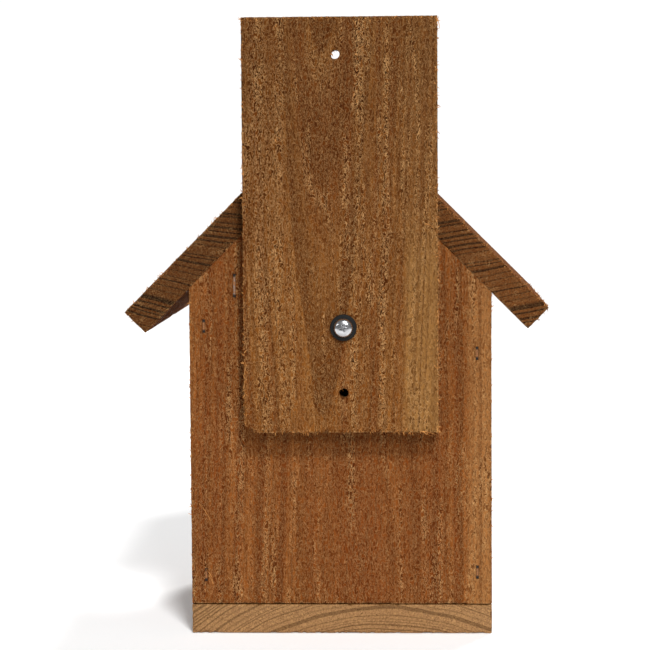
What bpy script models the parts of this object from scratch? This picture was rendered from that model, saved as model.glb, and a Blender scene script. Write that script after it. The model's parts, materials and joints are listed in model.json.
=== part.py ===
"""A small gabled birdhouse of rough-sawn cedar boards, stapled together.

The back wall stands on the floor board and laps the rear edges of the two side walls.
Two roof boards meet in a square lap at the ridge. The front board is the clean-out door:
it hangs between the side walls on two nails, its foot closes against the notched front
edge of the floor board, and a turn button holds it shut.
A mounting board swivels on one pan-head screw in the back wall.
Metres, +Z up, the back of the house faces -Y, the origin is the middle of the floor's underside.
"""

import math

import bmesh
import bpy
from mathutils import Matrix, Vector

# Boards
BOARD_T = 0.0135  # thickness of every board
GAP = 0.0003  # between boards that touch
EASED_EDGE = 0.0005  # wear on the arrises

# House
BODY_W = 0.1397  # a nominal six-inch board, across the back
SIDE_W = 0.1397  # the same stock for the side walls, front to back
RIDGE_Z = 0.2489  # outer peak above the floor's underside
RIDGE_X = -0.0012  # the gable was cut slightly off centre
ROOF_LENGTH = 0.1905  # front to back
ROOF_LAP_W = 0.1397  # slope width of the board that laps the ridge
ROOF_BUTT_W = 0.1240  # slope width of the board that butts under it
PITCH = math.radians(45.0)  # the ridge lap is square, so the two slopes are at right angles

# Mounting board
MOUNT_W = 0.0889
MOUNT_L = 0.1890
MOUNT_BELOW = 0.0482  # from the swivel screw down to the board's foot
MOUNT_X = 0.0008
MOUNT_CHIP_W = 0.0062  # broken lower corner
MOUNT_CHIP_H = 0.0043
MOUNT_HOLE_D = 0.0043
MOUNT_HOLE_TOP = (-0.0019, 0.1238)  # from the board's centreline, and up from the swivel
MOUNT_HOLE_LOW = (0.0013, -0.0300)

# Swivel screw and washer
SWIVEL_X = 0.0021
SWIVEL_RISE = 0.1302  # above the floor board
SCREW_SHANK_D = 0.0042
SCREW_HEAD_D = 0.0088
SCREW_HEAD_H = 0.0028
SCREW_BITE = 0.0100  # into the back wall
SCREW_POINT_H = 0.0050
WASHER_D = 0.0122
WASHER_T = 0.0014
RUNNING_FIT = 0.0001  # radial, round every pin and shank

# Front door
DOOR_SIDE_GAP = 0.0010
DOOR_TOP_GAP = 0.0016  # square to the slope
DOOR_FOOT_GAP = 0.0015  # above the floor board's underside
DOOR_RECESS = 0.0005  # back from the side walls' front edges
DOOR_STOP_GAP = 0.0004  # to the notched edge of the floor board
DOOR_PIVOT_DROP = 0.0188  # below the lower eave corner of the side walls
ENTRANCE_D = 0.0318
ENTRANCE_ABOVE_PIVOT = 0.0080
LADDER_KERFS = 5
LADDER_W = 0.0560
LADDER_PITCH = 0.0130
KERF_H = 0.0020
KERF_DEPTH = 0.0015

# Pivot nails
NAIL_D = 0.0029
NAIL_HEAD_D = 0.0070
NAIL_HEAD_H = 0.0011
NAIL_L = 0.0330

# Turn button
BUTTON_W = 0.0090
BUTTON_REACH = 0.0220  # from its screw to its tip
BUTTON_T = 0.0016
BUTTON_RISE = 0.0385  # above the floor board
BUTTON_SCREW_D = 0.0030
BUTTON_HEAD_D = 0.0064
BUTTON_HEAD_H = 0.0021
BUTTON_BITE = 0.0140

# Holes in the house
VENT_D = 0.0095
VENT_DROP = 0.0150  # from the side wall's outer top edge to the vent's middle
VENT_SPREAD = 0.0600
DRAIN_D = 0.0064
DRAIN_INSET = 0.0120  # from the inner faces of the walls

# Staples
STAPLE_CROWN = 0.0060
STAPLE_WIRE_W = 0.0012
STAPLE_WIRE_T = 0.0010
STAPLE_BITE = 0.0110  # past the board it holds
STAPLE_SUNK = 0.0003
STAPLE_POINT = 0.0012
STAPLE_FIT = 0.00015
TAG_CROWN = 0.0106
TAG_LEG = 0.0080
TAG_X = -0.0487
TAG_DROP = 0.0201  # below the roof's underside
BACK_STAPLE_DROP_LEFT = 0.0176  # below the eave corners
BACK_STAPLE_DROP_RIGHT = 0.0282
BACK_STAPLE_RISE_LEFT = 0.0139  # above the floor board
BACK_STAPLE_RISE_RIGHT = 0.0152
WALL_STAPLE_INSET_REAR = 0.0250  # along a side wall's bottom and top edges
WALL_STAPLE_INSET_FRONT = 0.0280
FLOOR_BACK_STAPLE_X = 0.0310
GABLE_STAPLE_INSETS = (0.0195, 0.0450)  # in from the body's side
RIDGE_STAPLE_INSET = 0.0230

# Derived
BODY_D = BOARD_T + GAP + SIDE_W
Y_BACK = -BODY_D / 2
Y_FRONT = BODY_D / 2
X_OUT = BODY_W / 2
X_IN = X_OUT - BOARD_T
X_SIDE = X_OUT - BOARD_T / 2
Z_FLOOR = BOARD_T
Z_WALL = BOARD_T + GAP
UNDER_RIDGE_Z = RIDGE_Z - BOARD_T / math.cos(PITCH)
SWIVEL_Y = Y_BACK - GAP - BOARD_T
SWIVEL_Z = Z_FLOOR + SWIVEL_RISE
MOUNT_BOTTOM_Z = SWIVEL_Z - MOUNT_BELOW
DOOR_Y = Y_FRONT - DOOR_RECESS - BOARD_T / 2
BUTTON_Y = Y_FRONT + GAP
BUTTON_Z = Z_FLOOR + BUTTON_RISE
UP = Vector((0, 0, 1))
BACKWARD = Vector((0, -1, 0))

for old in list(bpy.data.objects):
    bpy.data.objects.remove(old, do_unlink=True)

house = bpy.data.collections.new("Birdhouse")
bpy.context.scene.collection.children.link(house)
cutters = bpy.data.collections.new("Birdhouse_cutters")
bpy.context.scene.collection.children.link(cutters)


def material(name, colour, roughness, metallic=0.0):
    made = bpy.data.materials.new(name)
    made.use_nodes = True
    shader = made.node_tree.nodes["Principled BSDF"]
    shader.inputs["Base Color"].default_value = (*colour, 1.0)
    shader.inputs["Roughness"].default_value = roughness
    shader.inputs["Metallic"].default_value = metallic
    made.diffuse_color = (*colour, 1.0)
    return made


WALL_CEDAR = material("rough_cedar_walls", (0.33, 0.16, 0.07), 0.85)
BOARD_CEDAR = material("rough_cedar_mounting_board", (0.27, 0.15, 0.075), 0.85)
ROOF_CEDAR = material("rough_cedar_roof", (0.24, 0.12, 0.055), 0.88)
ZINC = material("zinc_plated_steel", (0.62, 0.62, 0.63), 0.25, 1.0)
STAPLE_STEEL = material("galvanised_staple_steel", (0.42, 0.42, 0.43), 0.5, 1.0)
RUBBER = material("black_rubber", (0.02, 0.02, 0.02), 0.7)


def roof_underside(x, below=0.0):
    """Height of the roof's underside over x, less a distance square to the slope."""
    return UNDER_RIDGE_Z - abs(x - RIDGE_X) * math.tan(PITCH) - below / math.cos(PITCH)


LOW_EAVE_Z = min(roof_underside(X_OUT), roof_underside(-X_OUT))
DOOR_PIVOT_Z = LOW_EAVE_Z - DOOR_PIVOT_DROP
ENTRANCE_Z = DOOR_PIVOT_Z + ENTRANCE_ABOVE_PIVOT


def finish(mesh, name, mat, where, ease=0.0, smooth=False):
    """The named piece made from a mesh."""
    mesh.name = name
    mesh.materials.clear()
    mesh.materials.append(mat)
    piece = bpy.data.objects.new(name, mesh)
    piece.matrix_world = where
    house.objects.link(piece)
    if smooth:
        for face in mesh.polygons:
            face.use_smooth = True
    if ease:
        bevel = piece.modifiers.new("eased_edges", "BEVEL")
        bevel.width = ease
        bevel.segments = 2
        bevel.limit_method = "ANGLE"
        bevel.angle_limit = math.radians(30)
    return piece


def outline_mesh(points, thickness, middle=0.0):
    """A closed flat outline in local XY, given thickness about local Z = middle."""
    curve = bpy.data.curves.new("outline", "CURVE")
    curve.dimensions = "2D"
    curve.fill_mode = "BOTH"
    curve.extrude = thickness / 2
    spline = curve.splines.new("POLY")
    spline.points.add(len(points) - 1)
    for at, (x, y) in zip(spline.points, points):
        at.co = (x, y, 0, 1)
    spline.use_cyclic_u = True
    carrier = bpy.data.objects.new("outline_carrier", curve)
    bpy.context.scene.collection.objects.link(carrier)
    bpy.context.view_layer.update()
    graph = bpy.context.evaluated_depsgraph_get()
    mesh = bpy.data.meshes.new_from_object(carrier.evaluated_get(graph))
    bpy.data.objects.remove(carrier, do_unlink=True)
    bpy.data.curves.remove(curve)
    shape = bmesh.new()
    shape.from_mesh(mesh)
    bmesh.ops.remove_doubles(shape, verts=shape.verts, dist=1e-6)
    bmesh.ops.dissolve_limit(
        shape, angle_limit=math.radians(1), verts=shape.verts, edges=shape.edges
    )
    bmesh.ops.translate(shape, verts=shape.verts, vec=(0, 0, middle))
    bmesh.ops.recalc_face_normals(shape, faces=shape.faces)
    shape.to_mesh(mesh)
    shape.free()
    return mesh


def box_mesh(size):
    mesh = bpy.data.meshes.new("box")
    shape = bmesh.new()
    bmesh.ops.create_cube(shape, size=1.0)
    bmesh.ops.scale(shape, verts=shape.verts, vec=size)
    shape.to_mesh(mesh)
    shape.free()
    return mesh


def upright(name, outline, y_near, y_far, origin, mat, ease=EASED_EDGE):
    """A board drawn in the XZ plane, between two distances along Y, with its own origin."""
    ox, oy, oz = origin
    points = [(x - ox, z - oz) for x, z in outline]
    mesh = outline_mesh(points, y_far - y_near, oy - (y_near + y_far) / 2)
    where = Matrix.Translation(origin) @ Matrix.Rotation(math.radians(90), 4, "X")
    return finish(mesh, name, mat, where, ease)


def turned(name, profile, where, mat, steps=48, smooth=True):
    """A piece turned about its own Z from a profile of (radius, height), top to bottom."""
    mesh = bpy.data.meshes.new(name)
    points = [(r, 0, h) for r, h in profile]
    edges = [(i, i + 1) for i in range(len(points) - 1)]
    mesh.from_pydata(points, edges, [])
    piece = finish(mesh, name, mat, where)
    turn = piece.modifiers.new("turned", "SCREW")
    turn.angle = math.tau
    turn.steps = steps
    turn.render_steps = steps
    turn.use_merge_vertices = True
    turn.merge_threshold = 1e-5
    turn.use_smooth_shade = smooth
    return piece


def cutter(name, mesh, where):
    tool = bpy.data.objects.new(name, mesh)
    tool.matrix_world = where
    tool.display_type = "WIRE"
    tool.hide_render = True
    cutters.objects.link(tool)
    return tool


def cut(piece, tool):
    hole = piece.modifiers.new(tool.name, "BOOLEAN")
    hole.operation = "DIFFERENCE"
    hole.solver = "EXACT"
    hole.object = tool


def facing(direction, at):
    """A frame whose Z looks along a direction, at a point."""
    return Matrix.Translation(at) @ direction.to_track_quat("Z", "Y").to_matrix().to_4x4()


def drill(name, pieces, diameter, at, direction, length, sides=32):
    """A round hole that starts at a point and runs along a direction."""
    mesh = bpy.data.meshes.new(name)
    shape = bmesh.new()
    bmesh.ops.create_cone(
        shape,
        cap_ends=True,
        segments=sides,
        radius1=diameter / 2,
        radius2=diameter / 2,
        depth=length,
    )
    bmesh.ops.translate(shape, verts=shape.verts, vec=(0, 0, length / 2))
    shape.to_mesh(mesh)
    shape.free()
    tool = cutter(name, mesh, facing(direction, at))
    for piece in pieces:
        cut(piece, tool)


def staple_outline(crown, leg, grow, top):
    """A staple seen square to its crown: the crown's outer face at -STAPLE_SUNK, legs down."""
    half = crown / 2 + grow
    inner = crown / 2 - STAPLE_WIRE_W - grow
    under = -STAPLE_SUNK - STAPLE_WIRE_T - grow
    foot = -leg - grow
    heel = foot + (STAPLE_POINT if grow == 0 else 0)
    return [
        (-half, top),
        (-half, foot),
        (-inner, heel),
        (-inner, under),
        (inner, under),
        (inner, heel),
        (half, foot),
        (half, top),
    ]


def staple(name, at, across, outward, pieces, crown=STAPLE_CROWN, leg=BOARD_T + STAPLE_BITE):
    """A staple driven at a point of a surface, its crown lying across, and its seat in the wood."""
    across = across.normalized()
    outward = outward.normalized()
    side = across.cross(outward)
    frame = Matrix((across, outward, side)).transposed().to_4x4()
    where = Matrix.Translation(at) @ frame
    body = outline_mesh(staple_outline(crown, leg, 0.0, -STAPLE_SUNK), STAPLE_WIRE_T)
    made = finish(body, name, STAPLE_STEEL, where)
    seat = outline_mesh(
        staple_outline(crown, leg, STAPLE_FIT, 0.002), STAPLE_WIRE_T + 2 * STAPLE_FIT
    )
    tool = cutter(name + "_seat", seat, where)
    for piece in pieces:
        cut(piece, tool)
    return made


# Floor: its grain runs front to back, and the walls stand on it. Its front edge is notched
# between the side walls, and the door's foot closes against the notch
notch_y = DOOR_Y - BOARD_T / 2 - DOOR_STOP_GAP
notch_x = X_IN
floor_board = finish(
    outline_mesh(
        [
            (-X_OUT, Y_BACK),
            (X_OUT, Y_BACK),
            (X_OUT, Y_FRONT),
            (notch_x, Y_FRONT),
            (notch_x, notch_y),
            (-notch_x, notch_y),
            (-notch_x, Y_FRONT),
            (-X_OUT, Y_FRONT),
        ],
        BOARD_T,
    ),
    "floor_board",
    WALL_CEDAR,
    Matrix.Translation((0, 0, BOARD_T / 2)),
    EASED_EDGE,
)
drain_x = X_IN - DRAIN_INSET
drain_y_back = Y_BACK + BOARD_T + DRAIN_INSET
drain_y_front = notch_y - DRAIN_INSET
for end, y in (("rear", drain_y_back), ("front", drain_y_front)):
    for hand, x in (("left", -drain_x), ("right", drain_x)):
        drill(f"drain_{end}_{hand}", [floor_board], DRAIN_D, (x, y, -0.002), UP, BOARD_T + 0.004)

# Back wall, gabled to meet the roof
back_wall = upright(
    "back_wall",
    [
        (-X_OUT, Z_WALL),
        (X_OUT, Z_WALL),
        (X_OUT, roof_underside(X_OUT, GAP)),
        (RIDGE_X, roof_underside(RIDGE_X, GAP)),
        (-X_OUT, roof_underside(-X_OUT, GAP)),
    ],
    Y_BACK,
    Y_BACK + BOARD_T,
    (0, Y_BACK, 0),
    WALL_CEDAR,
)

# Side walls, their tops cut to the roof's slope
sides = {}
for hand, sign in (("left", -1), ("right", 1)):
    x_out = sign * X_OUT
    x_in = sign * X_IN
    sides[hand] = upright(
        f"side_wall_{hand}",
        [
            (x_in, Z_WALL),
            (x_out, Z_WALL),
            (x_out, roof_underside(x_out, GAP)),
            (x_in, roof_underside(x_in, GAP)),
        ],
        Y_BACK + BOARD_T + GAP,
        Y_FRONT,
        (sign * X_SIDE, 0, 0),
        WALL_CEDAR,
    )
    vent_z = roof_underside(x_out) - VENT_DROP
    for end, y in (("rear", -VENT_SPREAD / 2), ("front", VENT_SPREAD / 2)):
        start = (sign * (X_OUT + 0.002), y, vent_z)
        inward = Vector((-sign, 0, 0))
        drill(f"vent_{hand}_{end}", [sides[hand]], VENT_D, start, inward, BOARD_T + 0.004)

# Roof: the left board laps the top end of the right one
roof_y = Y_BACK + ROOF_LENGTH / 2
ridge = Vector((RIDGE_X, roof_y, RIDGE_Z))
left_down = Vector((-math.cos(PITCH), 0, -math.sin(PITCH)))
left_out = Vector((-math.sin(PITCH), 0, math.cos(PITCH)))
right_down = Vector((math.cos(PITCH), 0, -math.sin(PITCH)))
right_out = Vector((math.sin(PITCH), 0, math.cos(PITCH)))
left_middle = ridge + left_down * (ROOF_LAP_W / 2) - left_out * (BOARD_T / 2)
right_start = BOARD_T + GAP
right_middle = ridge + right_down * (right_start + ROOF_BUTT_W / 2) - right_out * (BOARD_T / 2)
roof_left = finish(
    box_mesh((ROOF_LAP_W, ROOF_LENGTH, BOARD_T)),
    "roof_panel_left",
    ROOF_CEDAR,
    Matrix.Translation(left_middle) @ Matrix.Rotation(-PITCH, 4, "Y"),
    EASED_EDGE,
)
roof_right = finish(
    box_mesh((ROOF_BUTT_W, ROOF_LENGTH, BOARD_T)),
    "roof_panel_right",
    ROOF_CEDAR,
    Matrix.Translation(right_middle) @ Matrix.Rotation(PITCH, 4, "Y"),
    EASED_EDGE,
)

# Front door: a gabled board between the side walls, its origin on the pivot nails' axis
door_x = X_IN - DOOR_SIDE_GAP
door_z = DOOR_FOOT_GAP
front_door = upright(
    "front_door",
    [
        (-door_x, door_z),
        (door_x, door_z),
        (door_x, roof_underside(door_x, DOOR_TOP_GAP)),
        (RIDGE_X, roof_underside(RIDGE_X, DOOR_TOP_GAP)),
        (-door_x, roof_underside(-door_x, DOOR_TOP_GAP)),
    ],
    DOOR_Y - BOARD_T / 2,
    DOOR_Y + BOARD_T / 2,
    (0, DOOR_Y, DOOR_PIVOT_Z),
    WALL_CEDAR,
)
drill(
    "entrance",
    [front_door],
    ENTRANCE_D,
    (0, DOOR_Y + BOARD_T / 2 + 0.002, ENTRANCE_Z),
    BACKWARD,
    BOARD_T + 0.004,
    64,
)
kerf_top = ENTRANCE_Z - ENTRANCE_D / 2 - LADDER_PITCH
for step in range(LADDER_KERFS):
    z = kerf_top - step * LADDER_PITCH
    y = DOOR_Y - BOARD_T / 2
    tool = cutter(
        f"ladder_kerf_{step + 1}",
        box_mesh((LADDER_W, 2 * KERF_DEPTH, KERF_H)),
        Matrix.Translation((0, y, z)),
    )
    cut(front_door, tool)

# Pivot nails, driven through the side walls into the door's edges
for hand, sign in (("left", -1), ("right", 1)):
    outward = Vector((sign, 0, 0))
    face = Vector((sign * (X_OUT + GAP), DOOR_Y, DOOR_PIVOT_Z))
    r = NAIL_D / 2
    point = 2.2 * NAIL_D
    nail = turned(
        f"pivot_nail_{hand}",
        [
            (0, NAIL_HEAD_H),
            (NAIL_HEAD_D / 2 - 0.0003, NAIL_HEAD_H),
            (NAIL_HEAD_D / 2, NAIL_HEAD_H - 0.0003),
            (NAIL_HEAD_D / 2, 0),
            (r, 0),
            (r, -NAIL_L + point),
            (0, -NAIL_L),
        ],
        facing(outward, face),
        ZINC,
        32,
    )
    drill(
        f"pivot_hole_{hand}",
        [sides[hand], front_door],
        NAIL_D + 2 * RUNNING_FIT,
        face + outward * 0.002,
        -outward,
        NAIL_L + 0.002 + RUNNING_FIT,
    )

# Mounting board: its origin is on the swivel screw's axis
mount_left = MOUNT_X - MOUNT_W / 2
mount_right = MOUNT_X + MOUNT_W / 2
mount_top_z = MOUNT_BOTTOM_Z + MOUNT_L
mounting_board = upright(
    "mounting_board",
    [
        (mount_left + MOUNT_CHIP_W, MOUNT_BOTTOM_Z),
        (mount_right, MOUNT_BOTTOM_Z),
        (mount_right, mount_top_z),
        (mount_left, mount_top_z),
        (mount_left, MOUNT_BOTTOM_Z + MOUNT_CHIP_H),
    ],
    SWIVEL_Y,
    SWIVEL_Y + BOARD_T,
    (SWIVEL_X, SWIVEL_Y, SWIVEL_Z),
    BOARD_CEDAR,
)
drill(
    "nail_hole_top",
    [mounting_board],
    MOUNT_HOLE_D,
    (MOUNT_X + MOUNT_HOLE_TOP[0], SWIVEL_Y - 0.002, SWIVEL_Z + MOUNT_HOLE_TOP[1]),
    -BACKWARD,
    BOARD_T + 0.004,
)
drill(
    "nail_hole_low",
    [mounting_board, back_wall],
    MOUNT_HOLE_D,
    (MOUNT_X + MOUNT_HOLE_LOW[0], SWIVEL_Y - 0.002, SWIVEL_Z + MOUNT_HOLE_LOW[1]),
    -BACKWARD,
    2 * BOARD_T + GAP + 0.004,
)

# Swivel screw: a domed head on a rubber washer, the shank through the board into the wall
washer_at = Vector((SWIVEL_X, SWIVEL_Y - GAP, SWIVEL_Z))
washer_r = WASHER_D / 2
washer_in = SCREW_SHANK_D / 2 + RUNNING_FIT
round_off = WASHER_T * 0.3
rubber_washer = turned(
    "rubber_washer",
    [
        (washer_in, 0),
        (washer_in, WASHER_T),
        (washer_r - round_off, WASHER_T),
        (washer_r - round_off * 0.3, WASHER_T - round_off * 0.3),
        (washer_r, WASHER_T - round_off),
        (washer_r, round_off * 0.5),
        (washer_r - round_off * 0.5, 0),
        (washer_in, 0),
    ],
    facing(BACKWARD, washer_at),
    RUBBER,
)
head_at = washer_at + BACKWARD * (WASHER_T + GAP)
shank_l = GAP + WASHER_T + GAP + BOARD_T + GAP + SCREW_BITE
head_r = SCREW_HEAD_D / 2
shank_r = SCREW_SHANK_D / 2
dome = []
for i in range(9):
    turn_by = math.radians(90) * i / 8
    dome.append((head_r * math.sin(turn_by), SCREW_HEAD_H * (0.28 + 0.72 * math.cos(turn_by))))
mounting_screw = turned(
    "mounting_screw",
    dome
    + [
        (head_r, SCREW_HEAD_H * 0.1),
        (head_r - SCREW_HEAD_H * 0.1, 0),
        (shank_r, 0),
        (shank_r, -shank_l + SCREW_POINT_H),
        (0, -shank_l),
    ],
    facing(BACKWARD, head_at),
    ZINC,
)
recess_depth = SCREW_HEAD_H * 0.62
for hand, size in (("upright", (0.0009, 0.0046)), ("level", (0.0046, 0.0009))):
    tool = cutter(
        f"drive_slot_{hand}",
        box_mesh((size[0], size[1], 2 * recess_depth)),
        facing(BACKWARD, head_at + BACKWARD * SCREW_HEAD_H),
    )
    cut(mounting_screw, tool)
drill(
    "swivel_hole",
    [mounting_board, back_wall],
    SCREW_SHANK_D + 2 * RUNNING_FIT,
    washer_at + BACKWARD * 0.002,
    -BACKWARD,
    0.002 + GAP + BOARD_T + GAP + SCREW_BITE + RUNNING_FIT,
)

# Turn button: hangs unlocked down the right side wall's front edge, origin on its screw
button_origin = (X_SIDE, BUTTON_Y, BUTTON_Z)
button_r = BUTTON_W / 2
button_outline = []
for i in range(13):
    a = math.radians(180) * i / 12
    button_outline.append((X_SIDE + button_r * math.cos(a), BUTTON_Z + button_r * math.sin(a)))
for i in range(13):
    a = math.radians(180) * (1 + i / 12)
    tip_z = BUTTON_Z - BUTTON_REACH + button_r
    button_outline.append((X_SIDE + button_r * math.cos(a), tip_z + button_r * math.sin(a)))
turn_button = upright(
    "turn_button", button_outline, BUTTON_Y, BUTTON_Y + BUTTON_T, button_origin, ZINC, 0.0003
)
button_head_at = Vector((X_SIDE, BUTTON_Y + BUTTON_T + GAP, BUTTON_Z))
button_head_r = BUTTON_HEAD_D / 2
button_shank_r = BUTTON_SCREW_D / 2
button_shank_l = 2 * GAP + BUTTON_T + BUTTON_BITE
dome = []
for i in range(7):
    turn_by = math.radians(90) * i / 6
    height = BUTTON_HEAD_H * (0.15 + 0.85 * math.cos(turn_by))
    dome.append((button_head_r * math.sin(turn_by), height))
button_screw = turned(
    "button_screw",
    dome
    + [
        (button_head_r, 0),
        (button_shank_r, 0),
        (button_shank_r, -button_shank_l + 0.0035),
        (0, -button_shank_l),
    ],
    facing(-BACKWARD, button_head_at),
    ZINC,
    32,
)
tool = cutter(
    "button_screw_slot",
    box_mesh((0.2 * BUTTON_HEAD_D, 2 * BUTTON_HEAD_D, BUTTON_HEAD_H * 0.8)),
    facing(-BACKWARD, button_head_at - BACKWARD * BUTTON_HEAD_H),
)
cut(button_screw, tool)
drill(
    "button_hole",
    [turn_button, sides["right"]],
    BUTTON_SCREW_D + 2 * RUNNING_FIT,
    button_head_at - BACKWARD * 0.001,
    BACKWARD,
    0.001 + button_shank_l + RUNNING_FIT,
)

# Staples through the back wall into the side walls' rear edges, crowns upright
for hand, sign, drop, rise in (
    ("left", -1, BACK_STAPLE_DROP_LEFT, BACK_STAPLE_RISE_LEFT),
    ("right", 1, BACK_STAPLE_DROP_RIGHT, BACK_STAPLE_RISE_RIGHT),
):
    heights = (roof_underside(sign * X_OUT) - drop, Z_FLOOR + rise)
    for place, z in zip(("upper", "lower"), heights):
        staple(
            f"back_staple_{hand}_{place}",
            (sign * X_SIDE, Y_BACK, z),
            UP,
            BACKWARD,
            [back_wall, sides[hand]],
        )
# A wide staple that once held a label, in the back wall alone
tag_z = roof_underside(TAG_X) - TAG_DROP
staple("label_staple", (TAG_X, Y_BACK, tag_z), UP, BACKWARD, [back_wall], TAG_CROWN, TAG_LEG)

# Staples up through the floor
row_rear = Y_BACK + BOARD_T + GAP + WALL_STAPLE_INSET_REAR
row_front = Y_FRONT - WALL_STAPLE_INSET_FRONT
wall_rows = (
    ("rear", row_rear),
    ("middle", (row_rear + row_front) / 2),
    ("front", row_front),
)
for hand, sign in (("left", -1), ("right", 1)):
    for place, y in wall_rows:
        staple(
            f"floor_staple_{hand}_{place}",
            (sign * X_SIDE, y, 0),
            Vector((0, 1, 0)),
            -UP,
            [floor_board, sides[hand]],
        )
    staple(
        f"floor_staple_back_{hand}",
        (sign * FLOOR_BACK_STAPLE_X, Y_BACK + BOARD_T / 2, 0),
        Vector((1, 0, 0)),
        -UP,
        [floor_board, back_wall],
    )

# Staples through the roof into the side walls, the back wall's gable and the ridge lap
enter = BOARD_T * 0.30  # in from the side wall's outer face, so the legs stay in the wall
for hand, sign, down, out, panel in (
    ("left", -1, left_down, left_out, roof_left),
    ("right", 1, right_down, right_out, roof_right),
):
    x = sign * (X_OUT - enter)
    foot = Vector((x, 0, roof_underside(x))) + out * BOARD_T
    for place, y in wall_rows:
        staple(
            f"roof_staple_{hand}_{place}",
            (foot.x, y, foot.z),
            Vector((0, 1, 0)),
            out,
            [panel, sides[hand]],
        )
    for place, inset in zip(("low", "high"), GABLE_STAPLE_INSETS):
        x = sign * (X_OUT - inset)
        foot = Vector((x, 0, roof_underside(x))) + out * BOARD_T
        staple(
            f"gable_staple_{hand}_{place}",
            (foot.x, Y_BACK + BOARD_T / 2, foot.z),
            down,
            out,
            [panel, back_wall],
        )
for place, y in (
    ("rear", Y_BACK + RIDGE_STAPLE_INSET),
    ("middle", roof_y),
    ("front", Y_BACK + ROOF_LENGTH - RIDGE_STAPLE_INSET),
):
    top = ridge + left_down * (BOARD_T / 2)
    staple(
        f"ridge_staple_{place}",
        (top.x, y, top.z),
        Vector((0, 1, 0)),
        left_out,
        [roof_left, roof_right],
    )

bpy.context.view_layer.update()
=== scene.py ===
"""A stapled birdhouse of rough-sawn cedar with its mounting board, hardware and a plain studio.

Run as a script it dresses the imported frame. It is laid out as an add-on: each operator makes
one piece, or one group of like pieces.
"""

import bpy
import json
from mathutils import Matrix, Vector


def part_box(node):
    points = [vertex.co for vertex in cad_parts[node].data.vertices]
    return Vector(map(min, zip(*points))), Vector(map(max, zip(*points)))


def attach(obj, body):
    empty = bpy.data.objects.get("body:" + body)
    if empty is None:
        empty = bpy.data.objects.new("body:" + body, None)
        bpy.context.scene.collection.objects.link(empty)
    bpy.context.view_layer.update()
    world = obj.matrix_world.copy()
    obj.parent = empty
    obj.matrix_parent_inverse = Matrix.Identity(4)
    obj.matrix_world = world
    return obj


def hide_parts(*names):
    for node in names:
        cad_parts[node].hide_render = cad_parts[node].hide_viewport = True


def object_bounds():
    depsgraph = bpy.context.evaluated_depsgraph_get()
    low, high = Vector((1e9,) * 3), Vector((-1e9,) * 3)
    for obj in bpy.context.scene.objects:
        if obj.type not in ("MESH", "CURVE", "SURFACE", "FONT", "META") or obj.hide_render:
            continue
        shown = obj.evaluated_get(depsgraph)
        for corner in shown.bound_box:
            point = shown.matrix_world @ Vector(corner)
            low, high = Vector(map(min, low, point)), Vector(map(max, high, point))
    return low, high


bl_info = {
    "name": "Cedar Birdhouse",
    "version": (1, 0, 0),
    "blender": (4, 5, 0),
    "location": "View3D > Sidebar > Birdhouse",
    "description": "Rough-sawn cedar birdhouse with a swivelling mounting board",
    "category": "Add Mesh",
}

import json
import math
from functools import partial

import bmesh
import bpy
from mathutils import Matrix, Vector

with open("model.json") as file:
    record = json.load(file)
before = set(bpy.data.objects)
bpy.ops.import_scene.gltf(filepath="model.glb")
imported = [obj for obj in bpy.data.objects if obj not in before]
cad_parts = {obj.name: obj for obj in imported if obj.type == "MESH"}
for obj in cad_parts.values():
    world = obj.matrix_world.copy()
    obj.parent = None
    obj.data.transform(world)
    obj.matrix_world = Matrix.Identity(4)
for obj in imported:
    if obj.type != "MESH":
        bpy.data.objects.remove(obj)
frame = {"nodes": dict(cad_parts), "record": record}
CAD_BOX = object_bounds()
RECORD = frame["record"]
NODES = frame["nodes"]
BODY_OF = {node: body for body, nodes in RECORD["behaviour"]["bodies"].items() for node in nodes}
SCREW_SHANK = 0.0042
# How far a face is lifted to meet the next board, and how squarely it must look at it
JOINT_GAP = 0.00027
SQUARE_ON = 0.9
# The faces of a board that stand against the next, in the board's own frame
CLOSED = {
    "back_wall": ((-1, 0, 1), (1, 0, 1)),
    "roof_panel_left": ((0, 0, -1),),
    "roof_panel_right": ((-1, 0, 0), (0, 0, -1)),
}


def tone(code):
    """An sRGB hex colour as linear RGBA."""
    value = [int(code[i : i + 2], 16) / 255 for i in (1, 3, 5)]
    return [*(c / 12.92 if c <= 0.04045 else ((c + 0.055) / 1.055) ** 2.4 for c in value), 1.0]


def add(tree, kind, inputs=None, **settings):
    """Adds a node with its settings, and fills or links its inputs."""
    made = tree.nodes.new(kind)
    for key, value in settings.items():
        setattr(made, key, value)
    for key, value in (inputs or {}).items():
        if isinstance(value, bpy.types.Node):
            value = next(out for out in value.outputs if out.enabled)
        if isinstance(value, bpy.types.NodeSocket):
            tree.links.new(value, made.inputs[key])
        else:
            made.inputs[key].default_value = value
    return made


def shader_tree(name):
    """A new material with a bare Principled shader, and the function that adds to its tree."""
    made = bpy.data.materials.new(name)
    made.use_nodes = True
    tree = made.node_tree
    tree.nodes.clear()
    put = partial(add, tree)
    shader = put("ShaderNodeBsdfPrincipled")
    put("ShaderNodeOutputMaterial", {"Surface": shader})
    return made, put, shader


def wire_up(shader, values):
    """Fills or links the shader's own sockets."""
    for key, value in values.items():
        if isinstance(value, bpy.types.Node):
            value = next(out for out in value.outputs if out.enabled)
        if isinstance(value, bpy.types.NodeSocket):
            shader.id_data.links.new(value, shader.inputs[key])
        else:
            shader.inputs[key].default_value = value


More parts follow.
